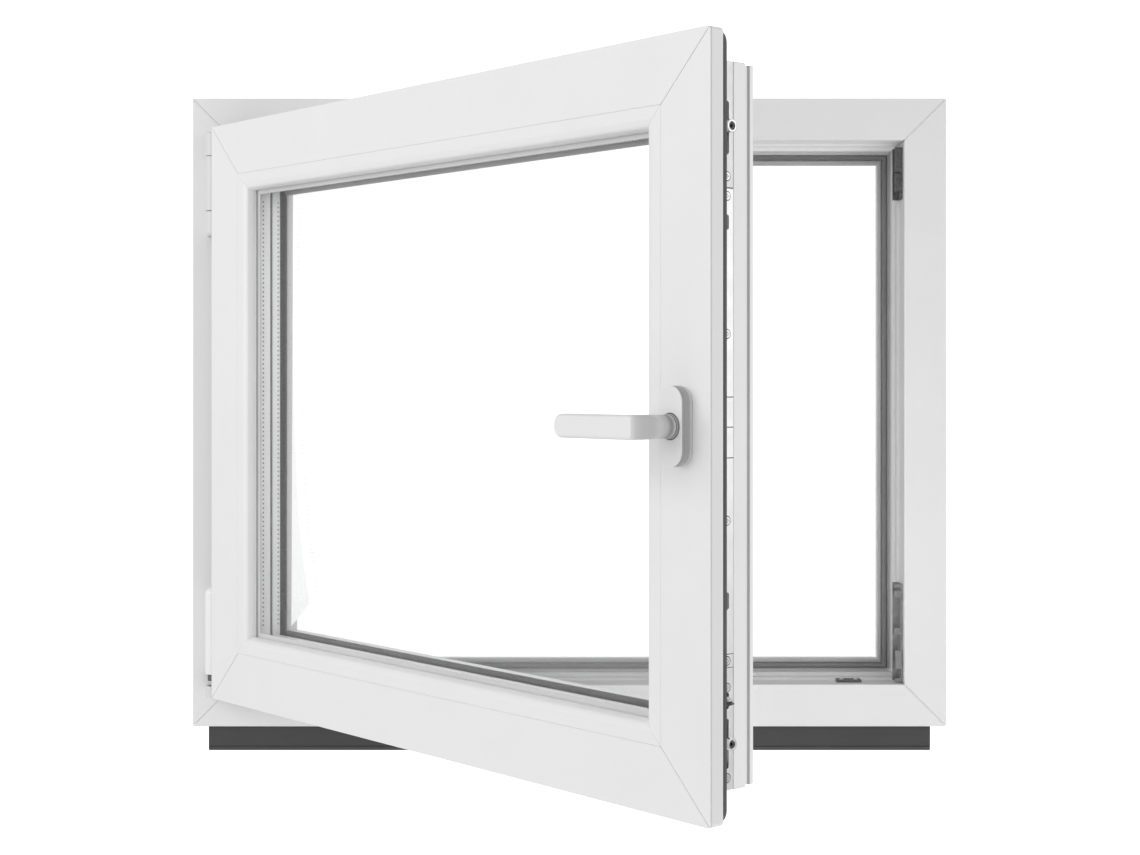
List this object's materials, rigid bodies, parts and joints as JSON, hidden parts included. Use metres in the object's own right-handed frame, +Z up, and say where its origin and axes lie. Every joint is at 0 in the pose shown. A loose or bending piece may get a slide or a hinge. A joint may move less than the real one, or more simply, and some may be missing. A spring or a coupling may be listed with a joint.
{
  "type": "casement window",
  "caption": "White tilt-and-turn casement window with a sash open into the room, lever handle, edge locking hardware, triple glazing and a grey sill connection profile.",
  "frame": {"origin": "middle of the sill connection profile's underside, 35 mm behind the frame's room face", "axes": "+X to the right seen from the room, +Y outwards, +Z up"},
  "size_m": [0.9, 0.7484, 0.78],
  "materials": {
    "frame_pvc": "satin",
    "sash_pvc": "satin",
    "hardware_white": "satin",
    "handle_white": "satin",
    "seal_dark": "matte",
    "seal_light": "matte",
    "sill_pvc": "matte",
    "zinc_steel": "satin",
    "galvanised_steel": "matte",
    "keep_metal": "matte",
    "spacer_aluminium": "satin",
    "glass": "polished",
    "block_plastic": "matte"
  },
  "bodies": {
    "frame": {"frame_sill": "frame_pvc", "frame_head": "frame_pvc", "frame_jamb_hinge": "frame_pvc", "frame_jamb_lock": "frame_pvc", "frame_steel_sill": "galvanised_steel", "frame_steel_head": "galvanised_steel", "frame_steel_hinge": "galvanised_steel", "frame_steel_lock": "galvanised_steel", "frame_gasket": "seal_dark", "sill_connection_profile": "sill_pvc", "top_hinge_bearing": "zinc_steel", "top_hinge_cover": "hardware_white", "top_hinge_cap": "hardware_white", "top_hinge_pin": "zinc_steel", "bottom_hinge_bearing": "hardware_white", "striker_top": "keep_metal", "tilt_keep": "zinc_steel", "sill_keep": "keep_metal"},
    "swivel": {"pivot_swivel": "zinc_steel"},
    "sash": {"sash_steel_bottom": "galvanised_steel", "sash_steel_top": "galvanised_steel", "sash_steel_hinge": "galvanised_steel", "sash_steel_lock": "galvanised_steel", "gearbox_case": "galvanised_steel", "overlap_gasket": "seal_dark", "outer_glazing_gasket": "seal_dark", "bead_gasket": "seal_light", "pivot_pin": "zinc_steel", "corner_band": "zinc_steel", "faceplate_gearbox": "zinc_steel", "corner_drive_top": "zinc_steel", "corner_drive_bottom": "zinc_steel", "stay_guide": "zinc_steel", "corner_band_cover": "hardware_white", "sash_rail_bottom": "sash_pvc", "sash_rail_top": "sash_pvc", "sash_stile_hinge": "sash_pvc", "sash_stile_lock": "sash_pvc", "bead_bottom": "sash_pvc", "bead_top": "sash_pvc", "bead_hinge": "sash_pvc", "bead_lock": "sash_pvc", "glass_outer": "glass", "glass_middle": "glass", "glass_room": "glass", "spacer_outer": "spacer_aluminium", "spacer_room": "spacer_aluminium", "setting_block_hinge": "block_plastic", "setting_block_lock": "block_plastic", "handle_rosette": "handle_white"},
    "stay": {"stay_arm": "zinc_steel"},
    "handle": {"handle_lever": "handle_white", "handle_spindle": "zinc_steel", "gearbox_follower": "galvanised_steel"},
    "lock_slide": {"lock_rod": "galvanised_steel", "roller_cam_top": "zinc_steel", "roller_cam_bottom": "zinc_steel"},
    "stay_slide": {"stay_rod": "galvanised_steel"},
    "guard": {"guard_lever": "keep_metal"}
  },
  "joints": [
    {"name": "sash_turn", "type": "hinge", "parent": "frame", "child": "swivel", "pos_m": [-0.4225, -0.046, 0.072], "axis": [0, 0, -1], "range_deg": [-49, 41]},
    {"name": "sash_tilt", "type": "hinge", "parent": "swivel", "child": "sash", "pos_m": [-0.4225, -0.046, 0.072], "axis": [0.6561, -0.7547, 0], "range_deg": [0, 7]},
    {"name": "stay_swing", "type": "hinge", "parent": "swivel", "child": "stay", "pos_m": [-0.4225, -0.046, 0.7255], "axis": [0, 0, -1], "range_deg": [0, 14.06]},
    {"name": "handle_turn", "type": "hinge", "parent": "sash", "child": "handle", "pos_m": [0.09145, -0.65858, 0.405], "axis": [0.7547, 0.6561, 0], "range_deg": [-90, 90]},
    {"name": "lock_rod_slide", "type": "slide", "parent": "sash", "child": "lock_slide", "axis": [0, 0, -1], "range_m": [-0.0182, 0.0182]},
    {"name": "stay_rod_slide", "type": "slide", "parent": "sash", "child": "stay_slide", "axis": [-0.6561, 0.7547, 0], "range_m": [-0.0182, 0.0182]},
    {"name": "guard_press", "type": "hinge", "parent": "sash", "child": "guard", "pos_m": [0.13358, -0.63388, 0.16], "axis": [-0.7547, -0.6561, 0], "range_deg": [0, 20], "stiffness_Nm_per_rad": 0.02}
  ],
  "couplings": [
    {"joint": "stay_swing", "follows": "sash_tilt", "ratio": 1.9803},
    {"joint": "lock_rod_slide", "follows": "handle_turn", "m_per_rad": 0.011459},
    {"joint": "stay_rod_slide", "follows": "handle_turn", "m_per_rad": 0.011459}
  ]
}
